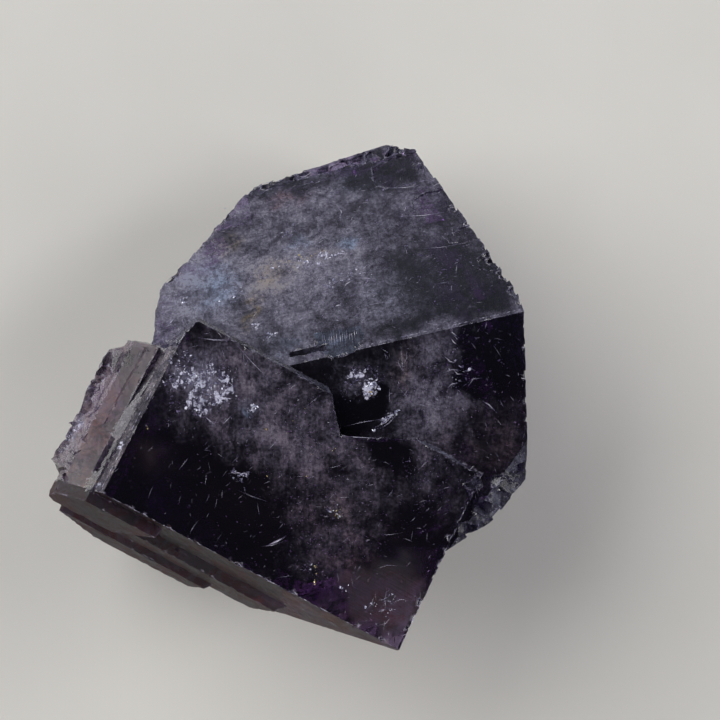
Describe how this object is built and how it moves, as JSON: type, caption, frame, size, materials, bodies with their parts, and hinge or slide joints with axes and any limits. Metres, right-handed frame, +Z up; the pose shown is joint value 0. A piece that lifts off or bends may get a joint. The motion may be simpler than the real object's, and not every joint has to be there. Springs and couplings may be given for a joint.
{
  "type": "fluorite specimen",
  "caption": "Purple fluorite specimen: a slab-like cube crystal grown through a cleaved crystal with a pale sloping face, lying on its broken back.",
  "frame": {"origin": "on the face that the specimen rests on, near the middle of that face", "axes": "+Z up, square to the face it rests on and to the front crystal's large face; +X to the right and +Y to the far side as seen in the picture"},
  "size_m": [0.0343, 0.0382, 0.021],
  "materials": {
    "fluorite": "polished"
  },
  "bodies": {
    "root": {"fluorite_crystals": "fluorite"}
  },
  "joints": []
}
